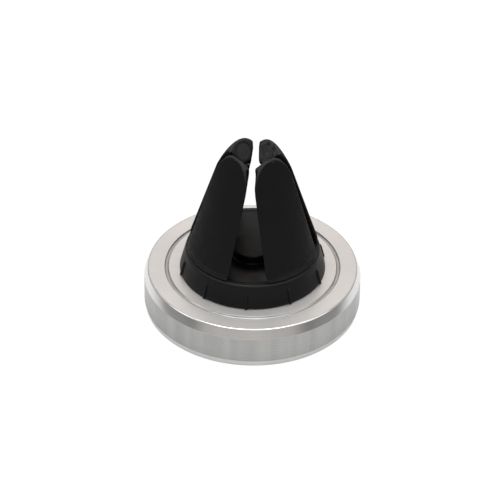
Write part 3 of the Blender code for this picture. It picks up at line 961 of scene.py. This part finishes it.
@dataclass
class Prong:
    """One prong: a stiff core with a hem at its foot, in a soft rubber sleeve."""

    quadrant: Quadrant
    rubber: bpy.types.Material
    plastic: bpy.types.Material
    shape: ProngShape = field(default_factory=ProngShape)
    skin: float = 0.8 * MM
    gap: float = 0.2 * MM
    running_gap: float = 0.3 * MM
    sleeve_foot: float = 5.5 * MM
    core_top: float = 23.3 * MM
    curl: Point2 = (0.14 * MM, 0.4 * MM)
    tip_round: float = 0.32 * MM
    mark_radius: float = 1.5 * MM
    mark_height: float = 24.1 * MM
    mark_depth: float = 0.07 * MM
    mark_spread: float = 0.05 * MM
    mark_edge: float = 0.15 * MM

    def build(self) -> None:
        """Make the sleeve and the core."""
        body = "prong_" + self.quadrant.label
        settle(self.sleeve(), body, "grip_rubber", "grip_sleeve_" + self.quadrant.label)
        settle(self.core(), body, "prong_plastic", "prong_core_" + self.quadrant.label)

    def placed(
        self, bm: bmesh.types.BMesh, outline: np.ndarray, height: float | np.ndarray
    ) -> list[bmesh.types.BMVert]:
        """A section's vertices in this prong's quadrant, with the pin mark pressed in."""
        points = np.column_stack([outline, np.broadcast_to(height, len(outline))])
        distance = self.shape.inner(self.mark_height) / DIAGONAL
        away = np.linalg.norm(points - [distance, distance, self.mark_height], axis=1)
        inside = (self.mark_radius + self.mark_spread - away) / self.mark_edge
        share = np.clip(inside, 0, 1) * self.mark_depth
        slope = math.atan(self.shape.lead_in)
        push = np.array([math.cos(slope) / DIAGONAL, math.cos(slope) / DIAGONAL, -math.sin(slope)])
        points += share[:, None] * push
        points *= [*self.quadrant.value, 1]
        return [bm.verts.new((x, y, z + DISC_BACK)) for x, y, z in points]

    def sleeve(self) -> bpy.types.Object:
        """The rubber sock: outside, round end, curled hem and the pocket for the core."""
        shape, foot = self.shape, self.sleeve_foot
        tip, crown = shape.spine_tip[1], shape.spine_tip[1] - shape.fingertip[1]
        depth, rise = self.curl
        heights = [foot + rise * step / 8 for step in range(8)]
        heights += list(np.arange(foot + rise, crown, 0.8 * MM))
        heights += [crown + shape.fingertip[1] * math.sin(a) for a in np.radians(np.linspace(2, 88.5, 48))]
        bm = bmesh.new()
        rows = []
        for height in heights:
            tuck = depth * (1 - min((height - foot) / rise, 1.0)) ** 2
            near_tip = max(self.tip_round - (tip - height), 0.0)
            thin = self.tip_round - math.sqrt(self.tip_round**2 - near_tip**2)
            rows.append(self.placed(bm, shape.section(height, 0.0, thin + tuck), height))
        pocket_heights = np.linspace(foot, self.core_top + self.gap, 30)
        pocket = [self.placed(bm, shape.section(h, self.skin, cut=0.3 * MM), h) for h in pocket_heights]
        bridge(bm, rows)
        bridge(bm, [rows[0], *pocket])
        bm.faces.new(rows[-1])
        bm.faces.new(pocket[-1])
        return publish("rubber_grip_" + self.quadrant.label, bm, [self.rubber])

    def core(self) -> bpy.types.Object:
        """The stiff core: foot block, hem ledge and the tongue inside the sleeve."""
        shape = self.shape
        hem_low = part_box("collar_ring")[1].z - DISC_BACK + self.running_gap - 0.1 * MM
        hem_high = self.sleeve_foot - 0.05 * MM
        inset, edge = 0.2 * MM, 0.1 * MM
        stages = [
            (hem_low, inset + edge), (hem_low + edge, inset), (hem_high - edge, inset),
            (hem_high, inset + edge), (hem_high, self.skin + self.gap),
        ]
        for height in np.linspace(hem_high, self.core_top, 24)[1:]:
            stages.append((height, self.skin + self.gap))
        bm = bmesh.new()
        rows = [self.foot_row(bm, hem_low, inset)]
        rows += [self.placed(bm, shape.section(h, i, cut=0.3 * MM), h) for h, i in stages]
        bridge(bm, rows)
        bm.faces.new(rows[0])
        bm.faces.new(rows[-1])
        return publish("stiff_core_" + self.quadrant.label, bm, [self.plastic])


    def foot_row(self, bm: bmesh.types.BMesh, height: float, inset: float) -> list[bmesh.types.BMVert]:
        """The underside of the core, inside the collar and level with the dish below it."""
        clip = ClipBody()
        outline = self.shape.section(height, inset, limit=clip.collar_bore - self.gap, cut=0.3 * MM)
        return self.placed(bm, outline, clip.dish(np.hypot(*outline.T)) + self.running_gap)


def build_prongs() -> None:
    """All four prongs, in shared finishes."""
    shape = ProngShape()
    distance = shape.inner(Prong.mark_height) / DIAGONAL
    # film=2.6 paints light on the prongs' upward lead-in faces; the lighter edge colour is partly wear,
    # partly a painted highlight.
    rubber = Moulded(
        "soft_black_rubber", (0.0014, 0.0013, 0.0024), (0.045, 0.0445, 0.046), (0.5, 0.64),
        grain_scale=5500.0, grain_depth=0.014 * MM, mottle_scale=420.0, dust_and_top_light=0.2, film=2.6, specular=0.2,
        mark_centre=(distance, distance, Prong.mark_height + DISC_BACK), mark_radius=Prong.mark_radius,
    ).build()
    plastic = Moulded(
        "core_black_plastic", (0.004, 0.0038, 0.004), (0.012, 0.012, 0.012), (0.5, 0.62), specular=0.22,
    ).build()
    for quadrant in Quadrant:
        Prong(quadrant, rubber, plastic, shape).build()


# ---------------------------------------------------------------- studio


@dataclass
class Studio:
    """Pale floor, soft light and the camera."""

    distance: float = 0.5373
    azimuth: float = math.radians(4.6)
    elevation: float = math.radians(36.7)
    roll: float = math.radians(0.85)
    aim_up: float = math.radians(0.264)
    aim_left: float = math.radians(0.01)
    lens: float = 207.8
    side_level: float = 0.16
    shoulder_level: float = 0.6
    front_level: float = 0.55
    rear_level: float = 0.78
    zenith_level: float = 1.0
    sky_colour: Colour = (1.0, 0.965, 0.93)
    lamp_colour: Colour = (0.93, 0.97, 1.0)
    sensor: float = 36.0
    floor_gap: float = 0.05 * MM
    floor_reach: float = 3.0
    floor_sides: Point2 = (0.035, 0.07)
    floor_glow: float = 1.02

    def build(self) -> None:
        """Set the stage."""
        bpy.context.scene.view_settings.view_transform = "Standard"
        self.floor()
        self.sky()
        self.lamps()
        self.camera()

    def floor(self) -> None:
        """A wide pale floor: white to the camera, and darker to each side in reflections."""
        bm = bmesh.new()
        bmesh.ops.create_grid(bm, x_segments=1, y_segments=1, size=self.floor_reach)
        bmesh.ops.translate(bm, verts=bm.verts, vec=(0.0, 0.0, -self.floor_gap))
        mat, graph, shader = new_material("pale_floor")
        place = graph.add("ShaderNodeTexCoord").outputs["Object"]
        across = graph.math("ABSOLUTE", graph.add("ShaderNodeSeparateXYZ", {0: place}).outputs[0])
        tone = graph.blend(graph.ramp(across, *self.floor_sides), (0.8, 0.8, 0.8), (0.2, 0.2, 0.2))
        graph.feed(shader.inputs["Base Color"], tone)
        shader.inputs["Roughness"].default_value = 0.9
        seen = graph.add("ShaderNodeLightPath").outputs["Is Camera Ray"]
        glow = graph.add("ShaderNodeEmission", {"Color": (1.0, 1.0, 1.0, 1.0), "Strength": self.floor_glow})
        mix = graph.add("ShaderNodeMixShader", {0: seen, 1: shader.outputs[0], 2: glow.outputs[0]})
        graph.feed(mat.node_tree.nodes["Material Output"].inputs["Surface"], mix.outputs[0])
        publish("floor", bm, [mat])

    def sky(self) -> None:
        """Soft surroundings: bright above and in front, darker round the sides."""
        world = bpy.data.worlds.new("studio")
        bpy.context.scene.world = world
        world.use_nodes = True
        graph = Graph(world.node_tree)
        way = graph.add("ShaderNodeTexCoord").outputs["Generated"]
        parts = graph.add("ShaderNodeSeparateXYZ", {0: way}).outputs
        ahead = graph.math("MULTIPLY", parts[1], -1.0)
        front = graph.ramp(ahead, 0.3, 0.85, (self.side_level, self.front_level))
        rear = graph.ramp(parts[1], 0.3, 0.75, (0.0, self.rear_level))
        raised = graph.math("MULTIPLY", rear, graph.ramp(parts[2], 0.2, 0.5))
        zenith = graph.ramp(parts[2], 0.6, 0.9, (0.0, self.zenith_level))
        shoulder = graph.ramp(parts[2], 0.02, 0.2, (self.side_level, self.shoulder_level))
        around = graph.math("MAXIMUM", front, raised)
        above = graph.math("MAXIMUM", shoulder, zenith)
        level = graph.math("MAXIMUM", around, above)
        background = world.node_tree.nodes["Background"]
        graph.feed(background.inputs["Strength"], level)
        background.inputs["Color"].default_value = (*self.sky_colour, 1.0)

    def lamps(self) -> None:
        """One wide soft lamp above and a weaker one on each side."""
        self.lamp("overhead", (0.0, 0.05, 0.62), width=0.42, power=2.1)
        self.lamp("left_fill", (-0.5, -0.15, 0.35), width=0.3, power=0.35)
        self.lamp("right_fill", (0.5, -0.1, 0.35), width=0.3, power=0.3)

    def lamp(self, name: str, place: Triple, width: float, power: float) -> None:
        """A square lamp that looks at the object."""
        data = bpy.data.lights.new(name, "AREA")
        data.size = width
        data.energy = power
        data.color = self.lamp_colour
        obj = bpy.data.objects.new(name, data)
        bpy.context.scene.collection.objects.link(obj)
        obj.location = place
        obj.rotation_mode = "QUATERNION"
        obj.rotation_quaternion = (-Vector(place)).to_track_quat("-Z", "Y")

    def camera(self) -> None:
        """A long lens, looking down at the disc's back."""
        target = Vector((0.0, 0.0, DISC_BACK))
        flat = math.cos(self.elevation)
        right, ahead = math.sin(self.azimuth) * flat, -math.cos(self.azimuth) * flat
        back = Vector((right, ahead, math.sin(self.elevation)))
        data = bpy.data.cameras.new("camera")
        data.lens = self.lens
        data.sensor_width = self.sensor
        data.clip_start = 0.01
        obj = bpy.data.objects.new("camera", data)
        bpy.context.scene.collection.objects.link(obj)
        obj.location = target + back * self.distance
        obj.rotation_mode = "QUATERNION"
        aim = (-back).to_track_quat("-Z", "Y")
        aim = aim @ Quaternion((0, 0, 1), self.roll)
        aim = aim @ Quaternion((1, 0, 0), self.aim_up) @ Quaternion((0, 1, 0), self.aim_left)
        obj.rotation_quaternion = aim
        bpy.context.scene.camera = obj


def main() -> None:
    """Build every piece and set the stage."""
    logging.basicConfig(level=logging.INFO, format="%(message)s")
    MagnetDisc().build()
    ClipBody().build()
    build_prongs()
    Studio().build()


if __name__ == "__main__":
    main()
